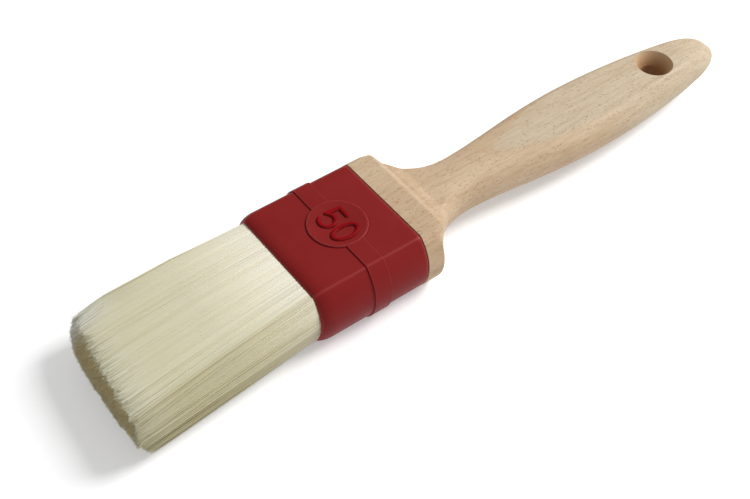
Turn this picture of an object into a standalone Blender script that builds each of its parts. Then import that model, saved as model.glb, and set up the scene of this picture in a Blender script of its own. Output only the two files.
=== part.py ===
"""Flat pastry brush: beech handle, moulded ferrule, two rows of bristles set in resin.

Units are metres, +Z is up. +X runs along the brush from the bristle tips to the
handle's tail, +Y runs across it. The brush lies flat: Z = 0 is the underside of the
ferrule's lower disc, and the whole brush is centred on X = 0 and Y = 0.
Lengths along the brush are counted from the seam, where the handle meets the ferrule.
"""
import math
import random

import bmesh
import bpy

MM = 0.001

# ---- Fits -------------------------------------------------------------------
CLEARANCE = 0.3 * MM            # between any two pieces that seat on each other
CUT_OVERSHOOT = 1.0 * MM        # how far a cutter stands out of what it cuts

# ---- Ferrule: a moulded sleeve with a lip at the bristle end ------------------
FERRULE_WIDTH = 50.6 * MM
FERRULE_THICKNESS = 24.6 * MM
FERRULE_LENGTH = 41.5 * MM
FERRULE_WALL = 1.8 * MM
FERRULE_SIDE_RADIUS = 16.5 * MM     # the long arc of each narrow side
FERRULE_EDGE_RADIUS = 1.6 * MM      # where a narrow side meets the flat top
NOSE_LENGTH = 5.0 * MM              # the stretch that rolls in at the bristle end
NOSE_INSET = 1.9 * MM
LIP_INSET = 2.2 * MM                # from the outer face to the mouth
LIP_THICKNESS = 3.0 * MM
LIP_ROUND = 0.5 * MM
SEAM_ROUND = 0.4 * MM               # softened rim at the handle end

# ---- Raised band, discs and figures on the ferrule ----------------------------
BAND_CENTRE = 18.4 * MM             # from the seam
BAND_WIDTH = 6.4 * MM
BAND_RISE = 0.5 * MM
BAND_RAMP = 0.35 * MM
DISC_RADIUS = 10.3 * MM
DISC_RISE = 0.9 * MM                # above the ferrule's flat faces
DISC_ROOT = 0.9 * MM                # how far the disc is rooted in the wall
DISC_RIM = 0.8 * MM
DISC_EDGE_ROUND = 0.3 * MM
DISC_DISH = 0.4 * MM                # hollow in the middle of the upper disc, which
#                                     has the two figures of the brush's width in it
FIGURE_HEIGHT = 9.3 * MM            # centre line to centre line
FIGURE_WIDTH = 5.3 * MM
FIGURE_PITCH = 7.3 * MM
FIGURE_SHIFT = 0.65 * MM            # the pair sits slightly towards -Y
FIGURE_STROKE = 1.5 * MM
FIGURE_RISE = 0.55 * MM             # above the dish
FIVE_FLAG_LENGTH = 4.0 * MM
FIVE_BOWL_RADIUS = 2.8 * MM         # half the height of the bowl
FIVE_BOWL_START = 125               # degrees, from the stem
FIVE_BOWL_END = -145                # round to the open end

# ---- Handle: one piece of beech ------------------------------------------------
HANDLE_LENGTH = 160.3 * MM
SHOULDER_PROUD = 0.1 * MM           # the wood stands this far out of the ferrule
SHOULDER_LENGTH = 6.6 * MM          # the straight narrow sides
SHOULDER_TOP_LENGTH = 8.9 * MM      # the flat top and bottom run a little further
TENON_LENGTH = 20.0 * MM
TENON_CHAMFER = 1.2 * MM
COVE_LENGTH = 26.0 * MM             # the hollow curve from shoulder to waist, in plan
COVE_SHARPNESS = 3.0                # how steeply the hollow falls off the shoulder
TOP_COVE_LENGTH = 8.6 * MM          # the shorter hollow on the top and bottom
TOP_COVE_FIRST = 0.45               # share of its length that the first step of it takes
TOP_COVE_FIRST_DROP = 0.68          # and share of its depth; a ridge parts the two steps
WAIST_WIDTH = 20.0 * MM
WAIST_LINGER = 0.85                 # below 1 the grip starts to widen sooner
BELLY_POSITION = 90.0 * MM
BELLY_WIDTH = 29.1 * MM
TAIL_LENGTH = 12.3 * MM             # the round end, in plan
TAIL_WIDTH = 18.0 * MM
TAIL_BLUNTNESS = 2.5                # 2 is an ellipse, higher is squarer
TAIL_THINNING_LENGTH = 19.3 * MM    # the stretch over which the thickness falls off
TAIL_THINNING_BLUNTNESS = 2.0
TAIL_TIP_FLAT = 0.02 * MM           # the round end stops this far short of its point
GRIP_THICKNESS = 15.8 * MM
GRIP_SIDE_BULGE = 4.7 * MM
COVE_SIDE_BULGE = 0.9 * MM          # least bulge, where the hollow has cut the arch away
HOLE_FROM_TAIL = 31.2 * MM
HOLE_RADIUS = 4.35 * MM
SINK_RADIUS = 7.15 * MM             # the hang hole is countersunk from both faces
SINK_DEPTH = 4.8 * MM
HOLE_RIM_SWELL = 0.15 * MM          # how far a countersink's side bows into the wood

# ---- Bristles, spacer and resin ------------------------------------------------
TUFT_LENGTH = 66.7 * MM             # free length, lip to the furthest tips
TUFT_SPLAY = 3.05 * MM              # the tips stand this much wider than the mouth, each way
TUFT_PINCH = 1.7 * MM               # and this much nearer to each other in thickness
TUFT_TIP_SIDE_RADIUS = 16.0 * MM    # arch of each narrow side at the tip
TUFT_WIDTH_SWELL = 0.5 * MM         # how far the middle of the tuft swells each way
TUFT_THICKNESS_SWELL = 0.8 * MM
TUFT_DROOP = 3.8 * MM               # the tips hang this far below the brush's axis
TUFT_DROOP_ONSET = 1.4              # higher: the droop starts nearer to the tips
TUFT_CLOSING = 3.0                  # higher: the two rows meet nearer to the ferrule
TUFT_LEAN = 0.8 * MM                # and this far towards -Y
UPPER_TUFT_DOME = 2.75 * MM         # the outermost layers are this much shorter
UPPER_DOME_SKEW = 0.55              # and more so towards +Y, less so towards -Y
LOWER_TUFT_DOME = 3.2 * MM
TUFT_SLANT = 1.2 * MM               # the tips fall back this far from -Y to +Y
TUFT_FAR_CORNER = 4.4 * MM          # and round off this much more at the +Y side
LOWER_NEAR_CORNER = 1.4 * MM        # and the lower row's at the -Y side
TUFT_RAGGED = 0.7 * MM
ROOT_LENGTH = 3.0 * MM              # the resin-soaked slice that holds the strands
STRAND_COLUMNS = 27
STRAND_ROWS = 6                     # on each side of the spacer
STRAND_REACHES = (0.42, 1.0)        # shares of the way to the tip where a strand bends
STRAND_FILL = (0.86, 0.70)          # share of its cell that a strand fills there
STRAND_GAP = 0.34 * MM              # between neighbours at the root
ROOT_MARGIN = 0.3 * MM              # bare edge of the slice beside the spacer
PARTING = 0.5 * MM                  # gap between the two rows at the tip
SPACER_THICKNESS = 2.4 * MM
SPACER_INSET = 4.3 * MM             # from each end of the mouth
SPACER_EMBEDDED = 4.0 * MM          # how deep the spacer sits in the resin
RESIN_LENGTH = 13.5 * MM

# ---- Fineness of the meshes ----------------------------------------------------
SIDE_STEPS = 8
EDGE_STEPS = 3
NOSE_STEPS = 5
COVE_STEPS = 9
COVE_CROWDING = 1.5                 # higher: more of the steps lie near the shoulder
TOP_COVE_STEPS = 4                  # in each of its two steps
GRIP_STEPS = 12
TAIL_STEPS = 9
ROUND_STEPS = 40
FIGURE_STEPS = 20
DISH_STEPS = 3
SINK_STEPS = 3
SEED = 50

# ---- Derived places --------------------------------------------------------------
AXIS_HEIGHT = FERRULE_THICKNESS / 2 + DISC_RISE
BORE_WIDTH = FERRULE_WIDTH - 2 * FERRULE_WALL
BORE_THICKNESS = FERRULE_THICKNESS - 2 * FERRULE_WALL
BORE_SIDE_RADIUS = FERRULE_SIDE_RADIUS - FERRULE_WALL
BORE_EDGE_RADIUS = 0.45 * FERRULE_EDGE_RADIUS
BORE_LENGTH = FERRULE_LENGTH - LIP_THICKNESS
MOUTH_WIDTH = FERRULE_WIDTH - 2 * LIP_INSET
MOUTH_THICKNESS = FERRULE_THICKNESS - 2 * LIP_INSET
MOUTH_SIDE_RADIUS = FERRULE_SIDE_RADIUS - LIP_INSET
SHOULDER_WIDTH = FERRULE_WIDTH + 2 * SHOULDER_PROUD
SHOULDER_THICKNESS = FERRULE_THICKNESS + 2 * SHOULDER_PROUD
TAIL_START = HANDLE_LENGTH - TAIL_LENGTH
HOLE_POSITION = HANDLE_LENGTH - HOLE_FROM_TAIL
TUFT_TIP_WIDTH = MOUTH_WIDTH + 2 * TUFT_SPLAY
TUFT_TIP_THICKNESS = MOUTH_THICKNESS - 2 * TUFT_PINCH
SPACER_WIDTH = MOUTH_WIDTH - 2 * SPACER_INSET
ROOT_FACE = -(BORE_LENGTH - CLEARANCE)      # where the strands leave their root slice
ROOT_BACK = ROOT_FACE + ROOT_LENGTH
TIP_X = -(FERRULE_LENGTH + TUFT_LENGTH)
RESIN_FACE = ROOT_BACK + CLEARANCE
RESIN_BACK = min(RESIN_FACE + RESIN_LENGTH, -(TENON_LENGTH + CLEARANCE))

PARTS = bpy.data.collections.new("pastry_brush")
CUTTERS = bpy.data.collections.new("cutters")


# ---- Helpers ---------------------------------------------------------------------
def clear_scene():
    for thing in list(bpy.data.objects):
        bpy.data.objects.remove(thing, do_unlink=True)


def make_material(name, colour, roughness):
    material = bpy.data.materials.new(name)
    material.use_nodes = True
    shader = material.node_tree.nodes["Principled BSDF"]
    shader.inputs["Base Color"].default_value = (*colour, 1.0)
    shader.inputs["Roughness"].default_value = roughness
    shader.inputs["Metallic"].default_value = 0.0
    return material


def add_part(name, bm, material, parent, smooth_angle=35):
    """Put a finished mesh into the parts collection, on the brush's axis."""
    mesh = bpy.data.meshes.new(name)
    bmesh.ops.recalc_face_normals(bm, faces=bm.faces[:])
    if bm.calc_volume(signed=True) < 0:
        bmesh.ops.reverse_faces(bm, faces=bm.faces[:])
    bm.to_mesh(mesh)
    bm.free()
    mesh.materials.append(material)
    mesh.shade_smooth()
    mesh.set_sharp_from_angle(angle=math.radians(smooth_angle))
    part = bpy.data.objects.new(name, mesh)
    PARTS.objects.link(part)
    part.parent = parent
    return part


def add_cutter(name, mesh, parent):
    cutter = bpy.data.objects.new(name, mesh)
    CUTTERS.objects.link(cutter)
    cutter.parent = parent
    cutter.hide_render = True
    cutter.display_type = "WIRE"
    return cutter


def combine(part, other, operation):
    modifier = part.modifiers.new(other.name, "BOOLEAN")
    modifier.object = other
    modifier.operation = operation
    modifier.solver = "EXACT"


def flat_oval(width, thickness, side_radius, edge_radius):
    """Points (y, z) round a section with flat top and bottom and arched narrow sides.

    Each side is an arc of side_radius, and an arc of edge_radius blends it into the
    flats. The number of points is always the same, so any two sections can be joined.
    """
    half_width = width / 2
    half_height = thickness / 2
    side = max(side_radius, half_height)
    edge = min(edge_radius, 0.95 * half_height)
    side_centre = half_width - side
    edge_height = half_height - edge
    edge_y = side_centre + math.sqrt((side - edge) ** 2 - edge_height ** 2)
    turn = math.atan2(edge_height, edge_y - side_centre)
    quarter = []
    for step in range(SIDE_STEPS // 2 + 1):
        angle = turn * step / (SIDE_STEPS // 2)
        quarter.append((side_centre + side * math.cos(angle), side * math.sin(angle)))
    for step in range(1, EDGE_STEPS + 1):
        angle = turn + (math.pi / 2 - turn) * step / EDGE_STEPS
        quarter.append((edge_y + edge * math.cos(angle), edge_height + edge * math.sin(angle)))
    upper = quarter + [(-y, z) for y, z in reversed(quarter)]
    lower = [(-y, -z) for y, z in upper[1:-1]]
    return upper + lower


def add_ring(bm, x, section):
    return [bm.verts.new((x, y, z)) for y, z in section]


def join_rings(bm, ring, following):
    """Skin between two sections that lie along the brush."""
    count = len(ring)
    for index in range(count):
        after = (index + 1) % count
        bm.faces.new((ring[index], ring[after], following[after], following[index]))


def loft(stations, closed_loop=False):
    """A skin through the sections in stations, each one (x, section)."""
    bm = bmesh.new()
    rings = [add_ring(bm, x, section) for x, section in stations]
    for ring, following in zip(rings, rings[1:]):
        join_rings(bm, ring, following)
    if closed_loop:
        join_rings(bm, rings[-1], rings[0])
    else:
        bm.faces.new(rings[0])
        bm.faces.new(rings[-1])
    return bm


def turned_mesh(name, profile):
    """A solid turned about Z from a profile (radius, z) that runs top to bottom."""
    bm = bmesh.new()
    verts = [bm.verts.new((radius, 0.0, z)) for radius, z in profile]
    for above, below in zip(verts, verts[1:]):
        bm.edges.new((above, below))
    outline = bpy.data.meshes.new(name + "_profile")
    bm.to_mesh(outline)
    bm.free()
    turned = bpy.data.objects.new(name + "_profile", outline)
    CUTTERS.objects.link(turned)
    screw = turned.modifiers.new("turn", "SCREW")
    screw.axis = "Z"
    screw.steps = ROUND_STEPS
    screw.render_steps = ROUND_STEPS
    screw.use_merge_vertices = True
    screw.merge_threshold = 0.00001
    return evaluated_mesh(name, turned)


def evaluated_mesh(name, source):
    """The source object's finished mesh, welded; the source object is removed."""
    bpy.context.view_layer.update()
    graph = bpy.context.evaluated_depsgraph_get()
    mesh = bpy.data.meshes.new_from_object(source.evaluated_get(graph), depsgraph=graph)
    mesh.name = name
    bm = bmesh.new()
    bm.from_mesh(mesh)
    bmesh.ops.remove_doubles(bm, verts=bm.verts[:], dist=0.00001)
    bmesh.ops.recalc_face_normals(bm, faces=bm.faces[:])
    bm.to_mesh(mesh)
    bm.free()
    bpy.data.objects.remove(source, do_unlink=True)
    return mesh


# ---- Ferrule ---------------------------------------------------------------------
def ferrule_section(rise):
    """The ferrule's outer section, raised by rise (or drawn in by a negative rise)."""
    return flat_oval(
        FERRULE_WIDTH + 2 * rise,
        FERRULE_THICKNESS + 2 * rise,
        FERRULE_SIDE_RADIUS + rise,
        FERRULE_EDGE_RADIUS,
    )


def mouth_section(rise):
    return flat_oval(
        MOUTH_WIDTH + 2 * rise,
        MOUTH_THICKNESS + 2 * rise,
        MOUTH_SIDE_RADIUS + rise,
        BORE_EDGE_RADIUS,
    )


def bore_section(clearance):
    return flat_oval(
        BORE_WIDTH - 2 * clearance,
        BORE_THICKNESS - 2 * clearance,
        BORE_SIDE_RADIUS - clearance,
        BORE_EDGE_RADIUS,
    )


def ferrule_stations():
    """Sections from the seam along the outside, round the lip and back up the bore."""
    band_back = -(BAND_CENTRE - BAND_WIDTH / 2)
    band_front = -(BAND_CENTRE + BAND_WIDTH / 2)
    stations = [
        (0.0, ferrule_section(-SEAM_ROUND)),
        (-SEAM_ROUND, ferrule_section(0.0)),
        (band_back + BAND_RAMP, ferrule_section(0.0)),
        (band_back, ferrule_section(BAND_RISE)),
        (band_front, ferrule_section(BAND_RISE)),
        (band_front - BAND_RAMP, ferrule_section(0.0)),
    ]
    nose_start = -(FERRULE_LENGTH - NOSE_LENGTH)
    for step in range(NOSE_STEPS + 1):
        angle = math.pi / 2 * step / NOSE_STEPS
        x = nose_start - NOSE_LENGTH * math.sin(angle)
        stations.append((x, ferrule_section(-NOSE_INSET * (1 - math.cos(angle)))))
    stations += [
        (-(FERRULE_LENGTH - LIP_ROUND), mouth_section(0.0)),
        (-BORE_LENGTH, mouth_section(0.0)),
        (-BORE_LENGTH, bore_section(0.0)),
        (0.0, bore_section(0.0)),
    ]
    return stations


def disc_mesh(name, dish):
    """A raised disc, rooted in the wall, with a soft rim and a dished or flat middle."""
    base = FERRULE_THICKNESS / 2
    top = base + DISC_RISE
    profile = []
    for step in range(DISH_STEPS + 1):
        share = step / DISH_STEPS
        profile.append(((DISC_RADIUS - DISC_RIM) * share, top - dish * (1 - share ** 2)))
    profile += [
        (DISC_RADIUS - DISC_EDGE_ROUND, top),
        (DISC_RADIUS, top - DISC_EDGE_ROUND),
        (DISC_RADIUS, base - DISC_ROOT),
        (0.0, base - DISC_ROOT),
    ]
    return turned_mesh(name, profile)


def stroke_mesh(name, points, closed):
    """A rounded stroke of a raised figure, following points (up, right) on the disc."""
    curve = bpy.data.curves.new(name, "CURVE")
    curve.dimensions = "3D"
    curve.bevel_depth = FIGURE_STROKE / 2
    curve.bevel_resolution = 1
    curve.use_fill_caps = True
    spline = curve.splines.new("POLY")
    spline.points.add(len(points) - 1)
    spline.use_cyclic_u = closed
    height = FERRULE_THICKNESS / 2 + DISC_RISE - DISC_DISH + FIGURE_RISE - FIGURE_STROKE / 2
    for point, (up, right) in zip(spline.points, points):
        point.co = (up, -right, height, 1.0)
    stroke = bpy.data.objects.new(name, curve)
    CUTTERS.objects.link(stroke)
    return evaluated_mesh(name, stroke)


def figure_nought():
    half_width = FIGURE_WIDTH / 2
    half_height = FIGURE_HEIGHT / 2
    points = []
    for step in range(FIGURE_STEPS):
        angle = 2 * math.pi * step / FIGURE_STEPS
        points.append((half_height * math.sin(angle), half_width * math.cos(angle)))
    return points


def figure_five():
    """Flag, stem and bowl as one open line; (up, right) from the figure's middle."""
    half_width = FIGURE_WIDTH / 2
    half_height = FIGURE_HEIGHT / 2
    bowl_centre = FIVE_BOWL_RADIUS - half_height
    points = [
        (half_height, FIVE_FLAG_LENGTH / 2),
        (half_height, -FIVE_FLAG_LENGTH / 2),
        (bowl_centre + FIVE_BOWL_RADIUS / 2, -half_width),
    ]
    steps = FIGURE_STEPS // 2
    for step in range(steps + 1):
        turn = FIVE_BOWL_START + (FIVE_BOWL_END - FIVE_BOWL_START) * step / steps
        up = bowl_centre + FIVE_BOWL_RADIUS * math.sin(math.radians(turn))
        points.append((up, half_width * math.cos(math.radians(turn))))
    return points


def build_ferrule(material, parent):
    ferrule = add_part("ferrule", loft(ferrule_stations(), True), material, parent)
    upper = add_cutter("upper_disc", disc_mesh("upper_disc", DISC_DISH), parent)
    lower = add_cutter("lower_disc", disc_mesh("lower_disc", 0.0), parent)
    lower.rotation_euler.x = math.pi
    upper.location.x = lower.location.x = -BAND_CENTRE
    combine(ferrule, upper, "UNION")
    combine(ferrule, lower, "UNION")
    five = add_cutter("figure_five", stroke_mesh("figure_five", figure_five(), False), parent)
    nought = add_cutter("figure_nought", stroke_mesh("figure_nought", figure_nought(), True), parent)
    five.location = (-BAND_CENTRE, FIGURE_PITCH / 2 - FIGURE_SHIFT, 0.0)
    nought.location = (-BAND_CENTRE, -FIGURE_PITCH / 2 - FIGURE_SHIFT, 0.0)
    combine(ferrule, five, "UNION")
    combine(ferrule, nought, "UNION")


# ---- Handle ----------------------------------------------------------------------
def handle_width(x):
    """Full width of the handle at x behind the seam."""
    waist = SHOULDER_LENGTH + COVE_LENGTH
    if x <= SHOULDER_LENGTH:
        return SHOULDER_WIDTH
    if x < waist:
        share = (waist - x) / COVE_LENGTH
        return WAIST_WIDTH + (SHOULDER_WIDTH - WAIST_WIDTH) * share ** COVE_SHARPNESS
    if x < BELLY_POSITION:
        share = (x - waist) / (BELLY_POSITION - waist)
        swell = (1 - math.cos(math.pi * share ** WAIST_LINGER)) / 2
        return WAIST_WIDTH + (BELLY_WIDTH - WAIST_WIDTH) * swell
    share = (x - BELLY_POSITION) / (TAIL_START - BELLY_POSITION)
    taper = BELLY_WIDTH - (BELLY_WIDTH - TAIL_WIDTH) * share ** 2
    return taper * tail_rounding(x, TAIL_LENGTH, TAIL_BLUNTNESS)


def tail_rounding(x, length, bluntness):
    """1 along the grip, falling over the last length to 0 at the very end in a round."""
    share = max(0.0, (x - (HANDLE_LENGTH - length)) / length)
    return (1 - min(share, 1.0) ** bluntness) ** (1 / bluntness)


def soft_step(share):
    """0 below 0, 1 above 1, and a gentle S between."""
    share = min(max(share, 0.0), 1.0)
    return share * share * (3 - 2 * share)


def handle_thickness(x):
    """Full thickness; it falls from the shoulder in two steps with a ridge between."""
    if x <= SHOULDER_TOP_LENGTH:
        return SHOULDER_THICKNESS
    share = (x - SHOULDER_TOP_LENGTH) / TOP_COVE_LENGTH
    if share < 1.0:
        first = soft_step(share / TOP_COVE_FIRST)
        second = soft_step((share - TOP_COVE_FIRST) / (1 - TOP_COVE_FIRST))
        fall = TOP_COVE_FIRST_DROP * first + (1 - TOP_COVE_FIRST_DROP) * second
        return SHOULDER_THICKNESS - (SHOULDER_THICKNESS - GRIP_THICKNESS) * fall
    return GRIP_THICKNESS * tail_rounding(x, TAIL_THINNING_LENGTH, TAIL_THINNING_BLUNTNESS)


def arc_bulge(radius, height):
    """How far an arc of this radius stands out over a straight line of this height."""
    radius = max(radius, height / 2)
    return radius - math.sqrt(radius ** 2 - (height / 2) ** 2)


def handle_section(x):
    """Section at x. The shoulder is as deep and arched as the ferrule, and its long
    edges run straight on until the hollow curve cuts them off; the grip is rounder.
    """
    width = handle_width(x)
    half_height = handle_thickness(x) / 2
    blend = min(max((x - SHOULDER_LENGTH) / COVE_LENGTH, 0.0), 1.0)
    shoulder_bulge = arc_bulge(FERRULE_SIDE_RADIUS, SHOULDER_THICKNESS)
    shoulder_edge = SHOULDER_WIDTH / 2 - shoulder_bulge
    bulge = max(width / 2 - shoulder_edge, GRIP_SIDE_BULGE * blend, COVE_SIDE_BULGE)
    if blend == 1.0:
        bulge = min(GRIP_SIDE_BULGE, width / 2, half_height)
    side_radius = (half_height ** 2 + bulge ** 2) / (2 * bulge)
    return flat_oval(width, 2 * half_height, side_radius, FERRULE_EDGE_RADIUS)


def handle_places():
    """Distances behind the seam at which the handle's sections are taken."""
    places = [CLEARANCE, SHOULDER_LENGTH, SHOULDER_TOP_LENGTH]
    for step in range(1, TOP_COVE_STEPS + 1):
        share = TOP_COVE_FIRST * step / TOP_COVE_STEPS
        places.append(SHOULDER_TOP_LENGTH + TOP_COVE_LENGTH * share)
    for step in range(1, TOP_COVE_STEPS + 1):
        share = TOP_COVE_FIRST + (1 - TOP_COVE_FIRST) * step / TOP_COVE_STEPS
        places.append(SHOULDER_TOP_LENGTH + TOP_COVE_LENGTH * share)
    cove_end = places[-1]
    for step in range(1, COVE_STEPS + 1):
        place = SHOULDER_LENGTH + COVE_LENGTH * (step / COVE_STEPS) ** COVE_CROWDING
        if place < SHOULDER_TOP_LENGTH or place > cove_end + CLEARANCE:
            places.append(place)
    places.sort()
    waist = places[-1]
    for step in range(1, GRIP_STEPS + 1):
        places.append(waist + (TAIL_START - waist) * step / GRIP_STEPS)
    end = HANDLE_LENGTH - TAIL_TIP_FLAT
    for step in range(1, TAIL_STEPS + 1):
        places.append(TAIL_START + (end - TAIL_START) * math.sin(math.pi / 2 * step / TAIL_STEPS))
    return places


def hang_hole_mesh():
    """A plug with a narrow waist, which opens out towards the handle's two faces."""
    face = GRIP_THICKNESS / 2
    half = [(0.0, face + CUT_OVERSHOOT), (SINK_RADIUS, face + CUT_OVERSHOOT)]
    for step in range(SINK_STEPS + 1):
        share = step / SINK_STEPS
        swell = HOLE_RIM_SWELL * 4 * share * (1 - share)
        radius = SINK_RADIUS + (HOLE_RADIUS - SINK_RADIUS) * share + swell
        half.append((radius, face - SINK_DEPTH * share))
    profile = half + [(radius, -z) for radius, z in reversed(half)]
    return turned_mesh("hang_hole", profile)


def build_handle(material, parent):
    stations = [
        (-TENON_LENGTH, bore_section(CLEARANCE + TENON_CHAMFER)),
        (-(TENON_LENGTH - TENON_CHAMFER), bore_section(CLEARANCE)),
        (CLEARANCE, bore_section(CLEARANCE)),
    ]
    stations += [(x, handle_section(x)) for x in handle_places()]
    handle = add_part("handle", loft(stations), material, parent)
    hole = add_cutter("hang_hole", hang_hole_mesh(), parent)
    hole.location.x = HOLE_POSITION
    combine(handle, hole, "DIFFERENCE")


# ---- Bristles --------------------------------------------------------------------
def arched_half_width(width, thickness, side_radius, height):
    """Half the width, at a height from the middle, of a section with arched sides."""
    side = max(side_radius, thickness / 2)
    return width / 2 - side + math.sqrt(side ** 2 - height ** 2)


def tuft_point(across, layer, reach, upper):
    """A point in the tuft: across runs -1 to 1, layer 0 (middle) to 1 (outer face),
    reach 0 (root face) to 1 (tip). upper is 1 for the upper row and -1 for the lower.
    """
    root_height = MOUTH_THICKNESS / 2 - CLEARANCE
    tip_height = TUFT_TIP_THICKNESS / 2
    root_inner = SPACER_THICKNESS / 2 + CLEARANCE + ROOT_MARGIN
    swell = 4 * reach * (1 - reach)
    closing = 1 - (1 - reach) ** TUFT_CLOSING
    outer = root_height + (tip_height - root_height) * reach + TUFT_THICKNESS_SWELL * swell
    inner = root_inner + (PARTING / 2 - root_inner) * closing
    height = inner + (outer - inner) * layer
    share = height / outer
    root_half = arched_half_width(
        MOUTH_WIDTH - 2 * CLEARANCE,
        2 * root_height,
        MOUTH_SIDE_RADIUS - CLEARANCE,
        share * root_height,
    )
    tip_half = arched_half_width(
        TUFT_TIP_WIDTH, TUFT_TIP_THICKNESS, TUFT_TIP_SIDE_RADIUS, share * tip_height
    )
    half_width = root_half + (tip_half - root_half) * reach + TUFT_WIDTH_SWELL * swell
    droop = TUFT_DROOP * reach ** TUFT_DROOP_ONSET
    x = ROOT_FACE + (TIP_X - ROOT_FACE) * reach
    return (x, across * half_width - TUFT_LEAN * reach, upper * height - droop)


def tip_shortening(across, layer, upper):
    """Share of a strand's length that is missing at the domed, slanting tip."""
    missing = TUFT_SLANT * (1 + across) / 2 + TUFT_FAR_CORNER * max(across, 0.0) ** 4
    if upper > 0:
        missing += UPPER_TUFT_DOME * (1 + UPPER_DOME_SKEW * across) * layer ** 2
    else:
        missing += LOWER_TUFT_DOME * layer ** 2 + LOWER_NEAR_CORNER * max(-across, 0.0) ** 4
    return missing / (ROOT_FACE - TIP_X)


def root_grid_point(column, row, upper):
    """Place of a corner of the root slice's grid of cells.

    The cells inside the outermost ring hold the strands. The ring carries the slice
    out to the walls of the ferrule's bore and in to the spacer.
    """
    across = min(max(2 * (column - 1) / STRAND_COLUMNS - 1, -1.0), 1.0)
    layer = min(max((row - 1) / STRAND_ROWS, 0.0), 1.0)
    x, y, z = tuft_point(across, layer, 0.0, upper)
    height = upper * z
    if row == 0:
        height = SPACER_THICKNESS / 2 + CLEARANCE
    if row == STRAND_ROWS + 2:
        height = BORE_THICKNESS / 2 - CLEARANCE
    wall = arched_half_width(
        BORE_WIDTH - 2 * CLEARANCE,
        BORE_THICKNESS - 2 * CLEARANCE,
        BORE_SIDE_RADIUS - CLEARANCE,
        height,
    )
    if column in (0, STRAND_COLUMNS + 2):
        return (x, math.copysign(wall, y), upper * height)
    return (x, math.copysign(min(abs(y), wall - ROOT_MARGIN), y), upper * height)


def root_slice(upper):
    """The front of the resin-soaked slice, and the cells of it that hold strands."""
    bm = bmesh.new()
    columns = STRAND_COLUMNS + 2
    rows = STRAND_ROWS + 2
    bmesh.ops.create_grid(bm, x_segments=columns, y_segments=rows, size=0.5)
    cells = []
    for face in bm.faces:
        middle = face.calc_center_median()
        column = math.floor((middle.x + 0.5) * columns)
        row = math.floor((middle.y + 0.5) * rows)
        if 0 < column < columns - 1 and 0 < row < rows - 1:
            across = 2 * (column - 0.5) / STRAND_COLUMNS - 1
            layer = (row - 0.5) / STRAND_ROWS
            cells.append((face, across, layer))
    for vert in bm.verts:
        column = round((vert.co.x + 0.5) * columns)
        row = round((vert.co.y + 0.5) * rows)
        vert.co = root_grid_point(column, row, upper)
    return bm, cells


def corners_in_order(face, upper):
    """The four corners of a strand's end, each with the way it lies: (side, depth)."""
    by_height = sorted(face.verts, key=lambda vert: upper * vert.co.z)
    corners = []
    for depth, pair in ((-1, by_height[:2]), (1, by_height[2:])):
        left, right = sorted(pair, key=lambda vert: vert.co.y)
        corners += [(left, -1, depth), (right, 1, depth)]
    return corners


def grow_strand(bm, face, across, layer, upper, tip_share):
    """Extrude one cell of the root slice into a tapering strand."""
    for reach, fill in zip(STRAND_REACHES, STRAND_FILL):
        face = bmesh.ops.extrude_discrete_faces(bm, faces=[face])["faces"][0]
        for vert, side, depth in corners_in_order(face, upper):
            place = across + side * fill / STRAND_COLUMNS
            height = layer + depth * fill / (2 * STRAND_ROWS)
            vert.co = tuft_point(place, height, reach * tip_share, upper)


def build_bristles(name, upper, material, parent):
    rng = random.Random(SEED + upper)
    bm, cells = root_slice(upper)
    slab = bmesh.ops.extrude_face_region(bm, geom=bm.faces[:], use_keep_orig=True)
    for element in slab["geom"]:
        if isinstance(element, bmesh.types.BMVert):
            element.co.x += ROOT_LENGTH
    for face, across, layer in cells:
        bmesh.ops.inset_individual(bm, faces=[face], thickness=STRAND_GAP / 2)
        missing = tip_shortening(across, layer, upper) + rng.random() * TUFT_RAGGED / TUFT_LENGTH
        grow_strand(bm, face, across, layer, upper, 1 - missing)
    add_part(name, bm, material, parent)


# ---- Pieces inside the ferrule ---------------------------------------------------
def box_bmesh(low, high):
    """A box between two opposite corners."""
    bm = bmesh.new()
    bmesh.ops.create_cube(bm, size=1.0)
    for vert in bm.verts:
        vert.co = [low[i] if vert.co[i] < 0 else high[i] for i in range(3)]
    return bm


def build_spacer(material, parent):
    """The strip that keeps the two rows apart; its back edge is set in the resin."""
    low = (ROOT_FACE, -SPACER_WIDTH / 2, -SPACER_THICKNESS / 2)
    high = (RESIN_FACE + SPACER_EMBEDDED, -low[1], -low[2])
    add_part("spacer_plug", box_bmesh(low, high), material, parent)


def build_resin(material, parent):
    stations = [(RESIN_FACE, bore_section(CLEARANCE)), (RESIN_BACK, bore_section(CLEARANCE))]
    resin = add_part("resin_setting", loft(stations), material, parent)
    slot_low = (
        RESIN_FACE - CUT_OVERSHOOT,
        -SPACER_WIDTH / 2 - CLEARANCE,
        -SPACER_THICKNESS / 2 - CLEARANCE,
    )
    slot_high = (RESIN_FACE + SPACER_EMBEDDED + CLEARANCE, -slot_low[1], -slot_low[2])
    slot_bm = box_bmesh(slot_low, slot_high)
    slot_mesh = bpy.data.meshes.new("spacer_slot")
    slot_bm.to_mesh(slot_mesh)
    slot_bm.free()
    slot = add_cutter("spacer_slot", slot_mesh, parent)
    combine(resin, slot, "DIFFERENCE")


def centre_brush(axis):
    """Stand the brush on Z = 0 with its length and width centred on the origin."""
    points = [vert.co for part in PARTS.objects if part.data for vert in part.data.vertices]
    for way in (0, 1):
        places = [point[way] for point in points]
        axis.location[way] = -(min(places) + max(places)) / 2
    axis.location.z = AXIS_HEIGHT


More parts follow.
